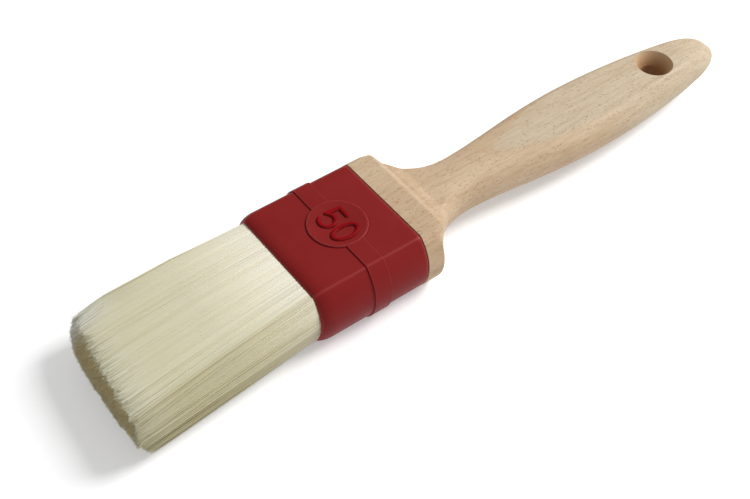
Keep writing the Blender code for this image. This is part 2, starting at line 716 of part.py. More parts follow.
def main():
    clear_scene()
    scene = bpy.context.scene
    scene.collection.children.link(PARTS)
    scene.collection.children.link(CUTTERS)

    beech = make_material("beech", (0.60, 0.43, 0.26), 0.62)
    red_moulding = make_material("red_moulding", (0.235, 0.018, 0.022), 0.45)
    cream_filament = make_material("cream_filament", (0.74, 0.69, 0.52), 0.5)
    amber_resin = make_material("amber_resin", (0.42, 0.26, 0.10), 0.2)
    spacer_wood = make_material("spacer_wood", (0.50, 0.34, 0.20), 0.7)

    axis = bpy.data.objects.new("brush_axis", None)
    PARTS.objects.link(axis)

    build_handle(beech, axis)
    build_ferrule(red_moulding, axis)
    build_bristles("upper_bristles", 1, cream_filament, axis)
    build_bristles("lower_bristles", -1, cream_filament, axis)
    build_spacer(spacer_wood, axis)
    build_resin(amber_resin, axis)
    centre_brush(axis)


main()
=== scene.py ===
# %% [markdown]
# # A flat pastry brush
#
# The brush is made of a beech handle, a red moulded ferrule and two rows of cream
# filaments set in resin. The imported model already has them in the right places, so
# this lesson only dresses it: finer shapes over the same sizes, a finish for each
# material, a camera and soft studio light.

import math
import random

import bmesh
import bpy
from mathutils import Matrix, Vector, noise


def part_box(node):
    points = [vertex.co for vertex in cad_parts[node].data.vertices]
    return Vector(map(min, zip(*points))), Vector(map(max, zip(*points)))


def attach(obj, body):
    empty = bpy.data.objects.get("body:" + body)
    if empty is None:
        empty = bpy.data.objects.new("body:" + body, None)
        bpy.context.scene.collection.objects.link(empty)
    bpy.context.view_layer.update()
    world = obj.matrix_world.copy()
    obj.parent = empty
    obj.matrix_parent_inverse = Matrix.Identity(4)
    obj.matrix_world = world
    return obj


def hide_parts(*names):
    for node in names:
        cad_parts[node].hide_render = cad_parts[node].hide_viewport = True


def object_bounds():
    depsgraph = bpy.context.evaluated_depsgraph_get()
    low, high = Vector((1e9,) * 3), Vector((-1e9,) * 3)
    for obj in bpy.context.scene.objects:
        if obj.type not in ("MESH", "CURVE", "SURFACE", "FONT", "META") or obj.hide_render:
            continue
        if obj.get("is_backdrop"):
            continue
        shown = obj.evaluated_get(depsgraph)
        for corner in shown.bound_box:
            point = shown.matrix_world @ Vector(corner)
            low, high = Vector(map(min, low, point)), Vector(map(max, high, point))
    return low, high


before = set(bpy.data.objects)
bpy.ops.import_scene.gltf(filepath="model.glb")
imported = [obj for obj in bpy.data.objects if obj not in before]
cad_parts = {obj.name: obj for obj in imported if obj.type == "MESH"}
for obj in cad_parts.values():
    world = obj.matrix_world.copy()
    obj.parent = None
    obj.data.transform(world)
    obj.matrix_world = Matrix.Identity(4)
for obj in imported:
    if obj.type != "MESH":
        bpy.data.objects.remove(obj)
plain_size = [list(corner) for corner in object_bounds()]
print("pieces in the packed brush:", sorted(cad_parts))

# %% [markdown]
# ## Where things are
#
# Brush makers measure from the seam, where the handle meets the ferrule. The same is
# done here: x runs from the seam to the tail, y across the brush, and z up from the
# middle of its thickness. Pieces are made in those sizes and set in place at the end.

# %% The seam and the brush's own axis
MM = 0.001
seam_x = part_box("ferrule")[1].x
handle_low, handle_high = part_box("handle")
brush_place = Vector((
    seam_x,
    (handle_low.y + handle_high.y) / 2,
    (handle_low.z + handle_high.z) / 2,
))
print("seam at", [round(value / MM, 2) for value in brush_place], "mm")

# %% [markdown]
# ## The camera
#
# The brush is seen from above, from the side of the tips, with a medium long lens, so
# the tips come a little nearer than the tail. A camera is placed by a matrix whose
# columns are its right, its up and the way back from the subject.

# %% Place the camera
CAMERA_RIGHT = Vector((0.7942, -0.6066, 0.0353))
CAMERA_UP = Vector((0.4394, 0.6134, 0.6562))
CAMERA_FROM_SEAM = Vector((-172.87, -205.73, 295.63)) * MM
CAMERA_LENS = 57.2
CAMERA_CLIP_START = 10 * MM

camera = bpy.data.objects.new("camera", bpy.data.cameras.new("camera"))
camera.data.lens = CAMERA_LENS
camera.data.clip_start = CAMERA_CLIP_START
back = CAMERA_RIGHT.cross(CAMERA_UP).normalized()
turn = Matrix((CAMERA_RIGHT, back.cross(CAMERA_RIGHT), back)).transposed()
camera.matrix_world = Matrix.Translation(brush_place + CAMERA_FROM_SEAM) @ turn.to_4x4()
bpy.context.scene.collection.objects.link(camera)
bpy.context.scene.camera = camera
print("camera stands", round(camera.location.z / MM), "mm above the table")

# %% [markdown]
# ## Finishing a piece
#
# Every piece ends the same way: its seams are welded, its faces turned outwards, and
# it is moved into place by its mesh, so that the object itself stays at the origin
# and patterns on Object coordinates don't slide. `set_sharp_from_angle` keeps real
# corners crisp and lets everything else shade smoothly.

# %% Turn a bmesh into a finished piece
WELD = 0.002 * MM


def finish_piece(name, bm, stands_for, sharp_angle=35):
    bmesh.ops.remove_doubles(bm, verts=bm.verts[:], dist=WELD)
    bmesh.ops.recalc_face_normals(bm, faces=bm.faces[:])
    bmesh.ops.translate(bm, verts=bm.verts[:], vec=brush_place)
    mesh = bpy.data.meshes.new(name)
    bm.to_mesh(mesh)
    bm.free()
    mesh.shade_smooth()
    mesh.set_sharp_from_angle(angle=math.radians(sharp_angle))
    piece = bpy.data.objects.new(name, mesh)
    bpy.context.scene.collection.objects.link(piece)
    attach(piece, "root")
    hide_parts(*stands_for)
    print(name, "has", sum(len(face.vertices) - 2 for face in mesh.polygons), "triangles")
    return piece


# %% [markdown]
# ## Edges rubbed pale with painted highlights, and hollows with painted shade
#
# Handling polishes the corners that stand out, and they also get a painted highlight; the
# hollows that lie deep get painted shade.
# A mesh can say where both are: at each vertex, the way to its neighbours is compared
# with the vertex normal. Neighbours that fall away mean an edge, neighbours that rise
# mean a nook, and both are kept as marks for the finishes to read.

# %% Mark edges and nooks
def mark_edges(mesh, sharpest):
    """Add an edge mark (wear plus painted highlight) and a hollow mark (painted shade); 1 is a
    bend over a radius of sharpest or less.
    """
    bend = [0.0] * len(mesh.vertices)
    links = [0] * len(mesh.vertices)
    for edge in mesh.edges:
        for here, there in (edge.vertices, reversed(edge.vertices)):
            way = mesh.vertices[there].co - mesh.vertices[here].co
            rise = way.dot(mesh.vertices[here].normal)
            bend[here] += 2 * rise / max(way.length_squared, WELD ** 2)
            links[here] += 1
    # The first mark is wear plus a painted highlight on edges, the second painted shade in
    # hollows.
    for name, sign in (("wear_and_highlight", -1), ("nook_shade", 1)):
        mark = mesh.attributes.new(name, "FLOAT", "POINT")
        for index, (total, count) in enumerate(zip(bend, links)):
            mark.data[index].value = min(max(sign * total * sharpest / max(count, 1), 0.0), 1.0)


# %% [markdown]
# ## One section for every sleeve
#
# Ferrule, shoulder and grip share one kind of section: flat above and below, with
# arched narrow sides and a small arc where the two meet. It could be drawn as a curve
# and bevelled, but then its size couldn't change along the brush. So a function gives
# the points round it, always the same number, and a flat grid of squares is wrapped
# round them and welded along its edges.

# %% Points round a flat oval
def flat_oval(width, thickness, side_radius, edge_radius, flats, crown=0.0, planed=0.0,
              side_steps=14, edge_steps=6):
    """(y, z) round the section: +Y side, over the top, -Y side, back underneath.

    flats has two lists of shares, -1 to 1, that place the points on the top and on
    the bottom. A crown bows these faces by that much, and planed is how much of the
    bow is planed off again, from the middle outwards.
    """
    bowed = crown - planed
    half_width, half_height = width / 2, thickness / 2 - bowed
    side = max(side_radius, half_height)
    edge = min(edge_radius, 0.95 * half_height)
    centre = half_width - side
    edge_z = half_height - edge
    edge_y = centre + math.sqrt((side - edge) ** 2 - edge_z ** 2)
    turn_end = math.atan2(edge_z, edge_y - centre)
    quarter = []
    for step in range(side_steps + 1):
        angle = turn_end * step / side_steps
        quarter.append((centre + side * math.cos(angle), side * math.sin(angle)))
    for step in range(1, edge_steps + 1):
        angle = turn_end + (math.pi / 2 - turn_end) * step / edge_steps
        quarter.append((edge_y + edge * math.cos(angle), edge_z + edge * math.sin(angle)))

    def face_point(share, way):
        return (edge_y * share, way * (half_height + min(crown * (1 - share ** 2), bowed)))

    top = [face_point(share, 1) for share in reversed(flats[0])]
    bottom = [face_point(share, -1) for share in flats[1]]
    over = quarter + top + [(-y, z) for y, z in reversed(quarter)]
    under = [(-y, -z) for y, z in quarter[1:]] + bottom
    return over + under + [(y, -z) for y, z in reversed(quarter)]


def even_shares(count):
    """Shares between -1 and 1, evenly spaced, without the two ends."""
    return [2 * (step + 1) / (count + 1) - 1 for step in range(count)]


# %% Wrap a grid round a row of sections
def wrap(sections, closed_ends=False):
    """Skin through sections, each (x, [(y, z), ...]); all have the same point count."""
    along, around = len(sections) - 1, len(sections[0][1]) - 1
    bm = bmesh.new()
    bmesh.ops.create_grid(bm, x_segments=along, y_segments=around, size=0.5)
    for vert in bm.verts:
        x, points = sections[round((vert.co.x + 0.5) * along)]
        vert.co = (x, *points[round((vert.co.y + 0.5) * around)])
    bmesh.ops.remove_doubles(bm, verts=bm.verts[:], dist=WELD)
    if closed_ends:
        bmesh.ops.holes_fill(bm, edges=[edge for edge in bm.edges if edge.is_boundary])
    return bm


def soft_step(share):
    """0 below 0, 1 above 1, and a gentle S between."""
    share = min(max(share, 0.0), 1.0)
    return share * share * (3 - 2 * share)


# %% [markdown]
# ## The red ferrule
#
# The ferrule is moulded in one shot: a sleeve with a band round it and, on its top, a
# low disc with the brush's width in raised figures. Separate discs joined by Booleans
# would have knife-sharp roots, and a moulding never has. Here the sleeve's grid is
# made fine where the disc sits, and each point there is lifted by a height worked out
# from its distance to the band, the disc's rim and the strokes of the figures.

# %% Sizes of the ferrule
FERRULE_WIDTH = 50.6 * MM
FERRULE_THICKNESS = 24.6 * MM
FERRULE_LENGTH = 41.5 * MM
SIDE_RADIUS = 16.5 * MM
EDGE_RADIUS = 1.6 * MM
BORE_EDGE_RADIUS = 0.45 * EDGE_RADIUS
WALL = 1.8 * MM
NOSE_LENGTH = 5.0 * MM
NOSE_INSET = 1.9 * MM
LIP_INSET = 2.2 * MM
LIP_THICKNESS = 3.0 * MM
SEAM_ROUND = 0.4 * MM
BAND_CENTRE = -18.4 * MM
BAND_WIDTH = 6.4 * MM
BAND_RISE = 0.5 * MM
DISC_RADIUS = 10.3 * MM
UPPER_DISC_RISE = 0.6 * MM
LOWER_DISC_RISE = 0.9 * MM
MOULD_SLOPE = 0.35 * MM
DISH_DEPTH = 0.75 * MM
DISC_RIM = 0.8 * MM
DISC_FIELD = 10.9 * MM                  # the grid is fine this far from the disc's middle
LIFT_FIELD = 12 * MM                    # and lifted this far from it, across
FERRULE_EDGE_MARK_RADIUS = 1.2 * MM          # a corner this tight counts as fully rubbed and highlighted, a hollow as fully shaded

# %% The figures as lines of points
FIGURE_HEIGHT = 9.3 * MM
FIGURE_WIDTH = 5.3 * MM
FIGURE_STROKE = 1.45 * MM
FIGURE_RISE = 0.7 * MM
FIGURE_SHOULDER = 0.45                  # share of a stroke's half width that is rounded
FIVE_MIDDLE = 3.0 * MM
FIVE_FLAG = 2.0 * MM                    # half the length of its top stroke
FIVE_BOWL_RADIUS = 2.8 * MM
FIVE_BOWL_START = 125                   # degrees
FIVE_BOWL_SWEEP = 270
NOUGHT_MIDDLE = -4.3 * MM
FIGURE_FIELD = (6 * MM, 9 * MM)         # no stroke lies further than this from the middle


def on_disc(up, right, middle):
    """The figures read from the -Y side: their up is +X and their right is -Y."""
    return Vector((BAND_CENTRE + up, middle - right))


def figure_nought(middle, steps=48):
    half_height, half_width = FIGURE_HEIGHT / 2, FIGURE_WIDTH / 2
    line = []
    for step in range(steps + 1):
        angle = 2 * math.pi * step / steps
        line.append((half_height * math.sin(angle), half_width * math.cos(angle)))
    return [on_disc(up, right, middle) for up, right in line]


def figure_five(middle, steps=28):
    top, left = FIGURE_HEIGHT / 2, -FIGURE_WIDTH / 2
    bowl = FIVE_BOWL_RADIUS - top
    line = [(top, FIVE_FLAG), (top, -FIVE_FLAG), (bowl + FIVE_BOWL_RADIUS / 2, left)]
    for step in range(steps + 1):
        angle = math.radians(FIVE_BOWL_START - FIVE_BOWL_SWEEP * step / steps)
        line.append((bowl + FIVE_BOWL_RADIUS * math.sin(angle), -left * math.cos(angle)))
    return [on_disc(up, right, middle) for up, right in line]


figure_lines = [figure_five(FIVE_MIDDLE), figure_nought(NOUGHT_MIDDLE)]
print("points in the figures:", [len(line) for line in figure_lines])

# %% How far the mould lifts the surface
def distance_to_figures(place):
    nearest = 1.0
    for line in figure_lines:
        for start, end in zip(line, line[1:]):
            run = end - start
            share = min(max((place - start).dot(run) / run.length_squared, 0.0), 1.0)
            nearest = min(nearest, (start + run * share - place).length)
    return nearest


def figure_share(x, y):
    """1 on the middle of a stroke, falling to 0 at its rounded edge."""
    if abs(x - BAND_CENTRE) > FIGURE_FIELD[0] or abs(y) > FIGURE_FIELD[1]:
        return 0.0
    off_line = distance_to_figures(Vector((x, y))) / (FIGURE_STROKE / 2)
    return soft_step((1 - off_line) / FIGURE_SHOULDER)


def band_lift(x):
    outside = abs(x - BAND_CENTRE) - BAND_WIDTH / 2
    return BAND_RISE * soft_step(1 - outside / MOULD_SLOPE)


def disc_lift(x, y, rise):
    return rise * soft_step((DISC_RADIUS - math.hypot(x - BAND_CENTRE, y)) / MOULD_SLOPE)


def upper_lift(x, y):
    centre_distance = math.hypot(x - BAND_CENTRE, y) / (DISC_RADIUS - DISC_RIM)
    dish = DISH_DEPTH * max(0.0, 1 - centre_distance ** 2)
    if centre_distance < 1:
        return UPPER_DISC_RISE - dish + FIGURE_RISE * figure_share(x, y)
    return max(band_lift(x), disc_lift(x, y, UPPER_DISC_RISE))


print("the dish is lifted", round(upper_lift(BAND_CENTRE, 0.0) / MM, 2), "mm at its middle")

# %% Sections along the ferrule
def spaced(start, end, step):
    """Places from start up to, but not including, end, about one step apart."""
    count = max(1, round(abs(end - start) / step))
    return [start + (end - start) * index / count for index in range(count)]


EDGE_Y = 19.17 * MM                     # where the flat top ends
OUTER_START = 17.8 * MM                 # where the coarse grid beside the disc begins
FINE_STEP = 0.16 * MM
BOTTOM_STEP = 0.4 * MM
OUTER_STEP = 1.4 * MM
SLEEVE_STEP = 1.3 * MM
fine_top = [y / EDGE_Y for y in spaced(-DISC_FIELD, DISC_FIELD, FINE_STEP)]
fine_bottom = [y / EDGE_Y for y in spaced(-DISC_FIELD, DISC_FIELD, BOTTOM_STEP)]
outer = [y / EDGE_Y for y in spaced(-OUTER_START, -DISC_FIELD, OUTER_STEP)]
inner = [-share for share in reversed(outer)]
ferrule_flats = (outer + fine_top + inner, outer + fine_bottom + inner)


def ferrule_oval(rise):
    return flat_oval(FERRULE_WIDTH + 2 * rise, FERRULE_THICKNESS + 2 * rise, SIDE_RADIUS + rise,
                     EDGE_RADIUS, ferrule_flats)


def hollow_oval(inset):
    return flat_oval(FERRULE_WIDTH - 2 * inset, FERRULE_THICKNESS - 2 * inset,
                     SIDE_RADIUS - inset, BORE_EDGE_RADIUS, ferrule_flats)


def moulded_oval(x):
    """The sleeve's section with band, disc and figures lifted out of its faces."""
    face = FERRULE_THICKNESS / 2
    points = []
    for (y, z), (_, flat_z) in zip(ferrule_oval(band_lift(x)), ferrule_oval(0.0)):
        if abs(y) < LIFT_FIELD and flat_z >= face - WELD:
            z = face + upper_lift(x, y)
        elif abs(y) < LIFT_FIELD and flat_z <= -face + WELD:
            z = -face - max(band_lift(x), disc_lift(x, y, LOWER_DISC_RISE))
        points.append((y, z))
    return points


print("points round the ferrule:", len(moulded_oval(BAND_CENTRE)))

# %% Build the ferrule
def rolled_rim(start, length, inset, steps, ahead):
    """Sections that roll inwards over a quarter turn; ahead is 1 for +X, -1 for -X."""
    rim = []
    for step in range(steps + 1):
        angle = math.pi / 2 * step / steps
        rise = -inset * (1 - math.cos(angle))
        rim.append((start + ahead * length * math.sin(angle), ferrule_oval(rise)))
    return rim


MOUTH_ROUND = (0.1 * MM, 0.4 * MM)       # the lip's inner edge rolls in this much, over this
BORE_CHAMFER = 0.3 * MM
disc_front, disc_back = BAND_CENTRE - DISC_FIELD, BAND_CENTRE + DISC_FIELD
nose_start = -(FERRULE_LENGTH - NOSE_LENGTH)
seam_rim = rolled_rim(-SEAM_ROUND, SEAM_ROUND, SEAM_ROUND, 4, 1)
sections = list(reversed(seam_rim))
for x in spaced(-SEAM_ROUND, disc_back, SLEEVE_STEP)[1:]:
    sections.append((x, ferrule_oval(0.0)))
for x in spaced(disc_back, disc_front, FINE_STEP):
    sections.append((x, moulded_oval(x)))
for x in spaced(disc_front, nose_start, SLEEVE_STEP):
    sections.append((x, ferrule_oval(0.0)))
sections += rolled_rim(nose_start, NOSE_LENGTH, NOSE_INSET, 12, -1)
lip_back = -(FERRULE_LENGTH - LIP_THICKNESS)
sections += [(-FERRULE_LENGTH + MOUTH_ROUND[0], hollow_oval(LIP_INSET - MOUTH_ROUND[0])),
             (-FERRULE_LENGTH + MOUTH_ROUND[1], hollow_oval(LIP_INSET)),
             (lip_back, hollow_oval(LIP_INSET)),
             (lip_back, hollow_oval(WALL)),
             (-BORE_CHAMFER, hollow_oval(WALL)),
             (0.0, hollow_oval(WALL - BORE_CHAMFER)),
             sections[0]]
ferrule_bm = wrap(sections)
figure_mark = ferrule_bm.verts.layers.float.new("figure")
for vert in ferrule_bm.verts:
    if vert.co.z > FERRULE_THICKNESS / 2:
        vert[figure_mark] = figure_share(vert.co.x, vert.co.y)
ferrule = finish_piece("moulded_ferrule", ferrule_bm, ["ferrule"], 50)
mark_edges(ferrule.data, FERRULE_EDGE_MARK_RADIUS)

# %% [markdown]
# ## The beech handle
#
# The handle is turned and spindle-moulded from one piece: a thick shoulder that fits
# the ferrule, a hollow that cuts it down to a slim waist, a swelling grip and a round
# tail with a hole to hang it by. It is a loft again, with its width and thickness
# given along its length, and the hole is cut by a Boolean with a turned cutter.

# %% Sizes of the handle
HANDLE_LENGTH = 160.3 * MM
SHOULDER_WIDTH = 50.8 * MM
SHOULDER_THICKNESS = 24.8 * MM
SHOULDER_LENGTH = 6.6 * MM
SHOULDER_TOP_LENGTH = 8.9 * MM
COVE_LENGTH = 26.0 * MM
COVE_SHARPNESS = 3
TOP_COVE_LENGTH = 8.6 * MM
TOP_COVE_FIRST = 0.45                   # share of its length that its first step takes
TOP_COVE_FIRST_DROP = 0.68              # and share of its depth; a ridge parts the steps
WAIST_WIDTH = 20.0 * MM
WAIST_LINGER = 0.85                     # below 1 the grip starts to widen sooner
BELLY_POSITION = 90.0 * MM
BELLY_WIDTH = 29.1 * MM
GRIP_THICKNESS = 15.8 * MM
GRIP_SIDE_BULGE = 4.7 * MM
COVE_SIDE_BULGE = 0.9 * MM
TAIL_WIDTH = 18.0 * MM
TAIL_LENGTH = 12.3 * MM
TAIL_BLUNTNESS = 2.9                    # 2 is an ellipse, higher is squarer
TAIL_THINNING = 19.3 * MM
TAIL_THINNING_BLUNTNESS = 2.0
TAIL_TIP_FLAT = 0.004 * MM
NECK_CROWN = 0.8 * MM                   # the neck is bowed, above and below
NECK_CROWN_RUN = 12 * MM
CROWN_LIMIT = 0.2                       # of half the thickness
PLANED_FROM = 50.0 * MM                 # from here the planed faces take the bow off
PLANED_RUN = 19.0 * MM
HOLE_POSITION = 129.1 * MM
HOLE_RADIUS = 4.35 * MM
SINK_RADIUS = 7.15 * MM                 # the hole is countersunk from both faces
SINK_DEPTH = 4.8 * MM
TENON_LENGTH = 20.0 * MM
TENON_CHAMFER = 1.2 * MM
CLEARANCE = 0.3 * MM
HANDLE_EDGE_MARK_RADIUS = 0.6 * MM

# %% Width and thickness along the handle
def tail_rounding(x, length, bluntness):
    share = min(max((x - (HANDLE_LENGTH - length)) / length, 0.0), 1.0)
    return (1 - share ** bluntness) ** (1 / bluntness)


def handle_width(x):
    waist = SHOULDER_LENGTH + COVE_LENGTH
    if x <= SHOULDER_LENGTH:
        return SHOULDER_WIDTH
    if x < waist:
        hollow = ((waist - x) / COVE_LENGTH) ** COVE_SHARPNESS
        return WAIST_WIDTH + (SHOULDER_WIDTH - WAIST_WIDTH) * hollow
    if x < BELLY_POSITION:
        share = ((x - waist) / (BELLY_POSITION - waist)) ** WAIST_LINGER
        return WAIST_WIDTH + (BELLY_WIDTH - WAIST_WIDTH) * (1 - math.cos(math.pi * share)) / 2
    share = (x - BELLY_POSITION) / (HANDLE_LENGTH - TAIL_LENGTH - BELLY_POSITION)
    taper = BELLY_WIDTH - (BELLY_WIDTH - TAIL_WIDTH) * share ** 2
    return taper * tail_rounding(x, TAIL_LENGTH, TAIL_BLUNTNESS)


def handle_thickness(x):
    cove_end = SHOULDER_TOP_LENGTH + TOP_COVE_LENGTH
    if x <= SHOULDER_TOP_LENGTH:
        return SHOULDER_THICKNESS
    if x < cove_end:
        share = (x - SHOULDER_TOP_LENGTH) / TOP_COVE_LENGTH
        first = soft_step(share / TOP_COVE_FIRST)
        second = soft_step((share - TOP_COVE_FIRST) / (1 - TOP_COVE_FIRST))
        fall = TOP_COVE_FIRST_DROP * first + (1 - TOP_COVE_FIRST_DROP) * second
        return SHOULDER_THICKNESS - (SHOULDER_THICKNESS - GRIP_THICKNESS) * fall
    return GRIP_THICKNESS * tail_rounding(x, TAIL_THINNING, TAIL_THINNING_BLUNTNESS)


for x in (0.0, SHOULDER_LENGTH + COVE_LENGTH, BELLY_POSITION, HANDLE_LENGTH - TAIL_LENGTH):
    print("at", round(x / MM, 1), "mm:", round(handle_width(x) / MM, 1), "mm wide and",
          round(handle_thickness(x) / MM, 1), "mm thick")

# %% Sections of the handle
handle_flats = (even_shares(14), even_shares(14))


def handle_oval(x):
    """The shoulder is arched like the ferrule; the grip is rounder."""
    width, half_height = handle_width(x), handle_thickness(x) / 2
    blend = min(max((x - SHOULDER_LENGTH) / COVE_LENGTH, 0.0), 1.0)
    half_shoulder = SHOULDER_THICKNESS / 2
    shoulder_bulge = SIDE_RADIUS - math.sqrt(SIDE_RADIUS ** 2 - half_shoulder ** 2)
    what_is_left = width / 2 - (SHOULDER_WIDTH / 2 - shoulder_bulge)
    bulge = max(what_is_left, GRIP_SIDE_BULGE * blend, COVE_SIDE_BULGE)
    if blend == 1.0:
        bulge = min(GRIP_SIDE_BULGE, width / 2, half_height)
    side_radius = (half_height ** 2 + bulge ** 2) / (2 * bulge)
    cove_end = SHOULDER_TOP_LENGTH + TOP_COVE_LENGTH
    crown = NECK_CROWN * soft_step((x - cove_end) / NECK_CROWN_RUN)
    crown = min(crown, CROWN_LIMIT * half_height)
    planed = crown * min(max((x - PLANED_FROM) / PLANED_RUN, 0.0), 1.0)
    return flat_oval(width, 2 * half_height, side_radius, EDGE_RADIUS, handle_flats,
                     crown, planed)


def tenon_oval(inset):
    return flat_oval(FERRULE_WIDTH - 2 * inset, FERRULE_THICKNESS - 2 * inset,
                     SIDE_RADIUS - inset, BORE_EDGE_RADIUS, handle_flats)


# %% Places where the sections are taken
SHOULDER_STEP = 1.2 * MM
TOP_COVE_STEP = 0.35 * MM
COVE_STEP = 0.8 * MM
GRIP_STEP = 1.8 * MM
TAIL_STEPS = 24

waist = SHOULDER_LENGTH + COVE_LENGTH
tail_start = HANDLE_LENGTH - TAIL_LENGTH
places = spaced(CLEARANCE, SHOULDER_LENGTH, SHOULDER_STEP)
places += spaced(SHOULDER_LENGTH, SHOULDER_TOP_LENGTH + TOP_COVE_LENGTH, TOP_COVE_STEP)
places += spaced(SHOULDER_TOP_LENGTH + TOP_COVE_LENGTH, waist, COVE_STEP)
places += spaced(waist, tail_start, GRIP_STEP)
for step in range(TAIL_STEPS):
    places.append(tail_start + TAIL_LENGTH * math.sin(math.pi / 2 * step / TAIL_STEPS))
places.append(HANDLE_LENGTH - TAIL_TIP_FLAT)
tenon = WALL + CLEARANCE
handle_sections = [(-TENON_LENGTH, tenon_oval(tenon + TENON_CHAMFER)),
                   (-TENON_LENGTH + TENON_CHAMFER, tenon_oval(tenon)),
                   (CLEARANCE, tenon_oval(tenon))]
handle_sections += [(x, handle_oval(x)) for x in places]
handle = finish_piece("beech_handle", wrap(handle_sections, True), ["handle"], 40)

# %% Cut the hang hole
def turned(profile, steps):
    """A closed shape turned about Z from (radius, z) points, top to bottom."""
    bm = bmesh.new()
    verts = [bm.verts.new((radius, 0.0, z)) for radius, z in profile]
    edges = [bm.edges.new(pair) for pair in zip(verts, verts[1:])]
    bmesh.ops.spin(bm, geom=verts + edges, cent=(0, 0, 0), axis=(0, 0, 1), steps=steps,
                   angle=2 * math.pi, use_merge=True)
    bmesh.ops.remove_doubles(bm, verts=bm.verts[:], dist=WELD)
    bmesh.ops.recalc_face_normals(bm, faces=bm.faces[:])
    return bm


DRILL_OVERSHOOT = 1.6 * MM
DRILL_STEPS = 96
grip_face = GRIP_THICKNESS / 2
half_profile = [(0.0, grip_face + DRILL_OVERSHOOT)]
for height in (grip_face + DRILL_OVERSHOOT, grip_face - SINK_DEPTH):
    radius = SINK_RADIUS + (HOLE_RADIUS - SINK_RADIUS) * (grip_face - height) / SINK_DEPTH
    half_profile.append((radius, height))
other_half = [(radius, -height) for radius, height in reversed(half_profile)]
drill_bm = turned(half_profile + other_half, DRILL_STEPS)
hole_place = brush_place + Vector((HOLE_POSITION, 0, 0))
bmesh.ops.translate(drill_bm, verts=drill_bm.verts[:], vec=hole_place)
drill_mesh = bpy.data.meshes.new("drill")
drill_bm.to_mesh(drill_mesh)
drill_bm.free()
drill = bpy.data.objects.new("drill", drill_mesh)
bpy.context.scene.collection.objects.link(drill)
cut = handle.modifiers.new("hang_hole", "BOOLEAN")
cut.object, cut.operation, cut.solver = drill, "DIFFERENCE", "EXACT"
bpy.context.view_layer.update()
graph = bpy.context.evaluated_depsgraph_get()
drilled = bpy.data.meshes.new_from_object(handle.evaluated_get(graph), depsgraph=graph)
handle.modifiers.clear()
handle.data = drilled
bpy.data.objects.remove(drill)
print("the drilled handle has", len(handle.data.polygons), "faces")

# %% Mark the fresh wood and the bored wood
FRESH_FROM = 70 * MM                    # paler wood begins here, apart from planed faces
FRESH_RUN = 50 * MM
FLAT_UP = 0.999                         # a normal this upright is on a planed face

mark_edges(handle.data, HANDLE_EDGE_MARK_RADIUS)
fresh_mark = handle.data.attributes.new("fresh", "FLOAT", "POINT")
bored_mark = handle.data.attributes.new("bored", "FLOAT", "POINT")
for index, vert in enumerate(handle.data.vertices):
    place = vert.co - brush_place
    on_planed_face = place.x > PLANED_FROM and abs(vert.normal.z) > FLAT_UP
    towards_tail = soft_step((place.x - FRESH_FROM) / FRESH_RUN)
    fresh_mark.data[index].value = 1.0 if on_planed_face else towards_tail
    off_centre = math.hypot(place.x - HOLE_POSITION, place.y)
    into_hole = (SINK_RADIUS - off_centre) / (SINK_RADIUS - HOLE_RADIUS)
    bored_mark.data[index].value = soft_step(into_hole)
print("bored corners:", sum(point.value > 0 for point in bored_mark.data))

# %% [markdown]
# ## The filaments
#
# The tuft is thousands of thin nylon filaments in two rows, parted at the root by a
# wooden strip. A hair system would draw them quickly, but hair is no mesh and can't
# be kept as one. Instead a grid gives one small square for each filament, the squares
# are split apart, and all of them are extruded together, level by level. The place
# of each level follows the tuft's shape, with small wanderings that make locks.

# %% Sizes of the tuft
MOUTH_WIDTH = FERRULE_WIDTH - 2 * LIP_INSET
MOUTH_THICKNESS = FERRULE_THICKNESS - 2 * LIP_INSET
TUFT_LENGTH = 66.7 * MM                 # free length, lip to the furthest tips
TIP_SPLAY = 2.3 * MM                    # wider than the mouth by this much, each way
TIP_PINCH = 1.7 * MM                    # and thinner by this much
ROOT_X = -38.2 * MM
TIP_X = -(FERRULE_LENGTH + TUFT_LENGTH)
TIP_WIDTH = MOUTH_WIDTH + 2 * TIP_SPLAY
TIP_THICKNESS = MOUTH_THICKNESS - 2 * TIP_PINCH
TIP_SIDE_RADIUS = 16.0 * MM
MOUTH_GAP = 0.05 * MM                   # between the mouth and the filaments
WIDTH_SWELL = 0.1 * MM
THICKNESS_SWELL = 0.6 * MM
FREED_SWELL = 0.7 * MM                  # packed filaments spread as they leave the lip
FREED_ACROSS = 0.4                      # and this share of it goes into the width
FREED_FROM = 0.0465                     # reach at which they pass the lip
FREED_RUN = 0.009
DROOP = 3.8 * MM
DROOP_ONSET = 1.4                       # higher: the droop starts nearer to the tips
CLOSING = 3                             # higher: the rows meet nearer to the ferrule
LEAN = 0.8 * MM
UPPER_DOME = 2.75 * MM                  # the outermost filaments are this much shorter
UPPER_DOME_SKEW = 0.55                  # and more so towards +Y
LOWER_DOME = 3.2 * MM
SLANT = 1.2 * MM                        # the tips fall back this far from -Y to +Y
FAR_CORNER = 4.4 * MM
LOWER_NEAR_CORNER = 2.2 * MM
SPACER_THICKNESS = 2.4 * MM
SPACER_MARGIN = 1.7 * CLEARANCE
SPACER_END = (0.90, 0.08)               # share across where it stops, and how softly
PARTING = 0.1 * MM                      # least distance from the tuft's middle plane

# %% A place in the tuft
def arched_half_width(width, thickness, side_radius, height):
    side = max(side_radius, thickness / 2)
    return width / 2 - side + math.sqrt(side ** 2 - min(abs(height), side) ** 2)


